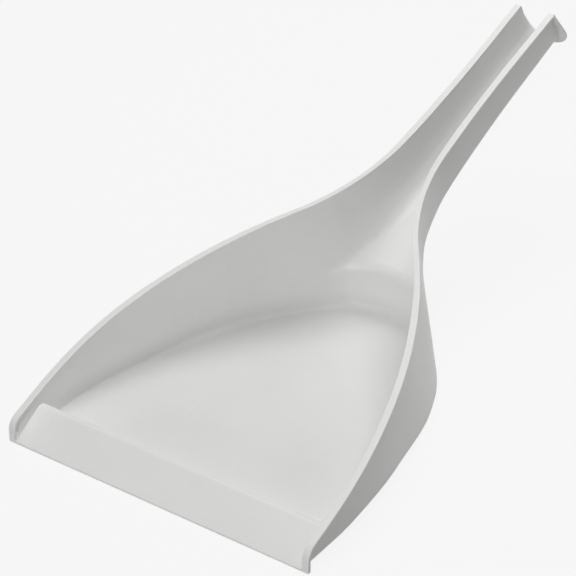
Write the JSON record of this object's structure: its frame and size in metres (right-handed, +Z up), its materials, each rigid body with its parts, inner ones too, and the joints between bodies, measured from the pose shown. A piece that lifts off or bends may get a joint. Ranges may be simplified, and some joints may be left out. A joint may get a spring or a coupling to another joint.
{
  "type": "dustpan",
  "caption": "Hand dustpan moulded in pale plastic: flat pan with a raised front ramp, curved rimmed sides and an open channel handle that ends in a collar.",
  "frame": {"origin": "middle of the footprint, on the surface that the pan lies on", "axes": "+Z up, +Y from the front edge towards the handle, X across the pan"},
  "size_m": [0.22, 0.4526, 0.1582],
  "materials": {
    "shell": "satin pale grey-white moulding"
  },
  "bodies": {
    "root": {"pan_floor": "shell", "front_ramp": "shell", "left_wall": "shell", "right_wall": "shell", "back_wall": "shell", "neck": "shell", "grip": "shell", "left_rim": "shell", "right_rim": "shell", "end_flange": "shell"}
  },
  "joints": []
}
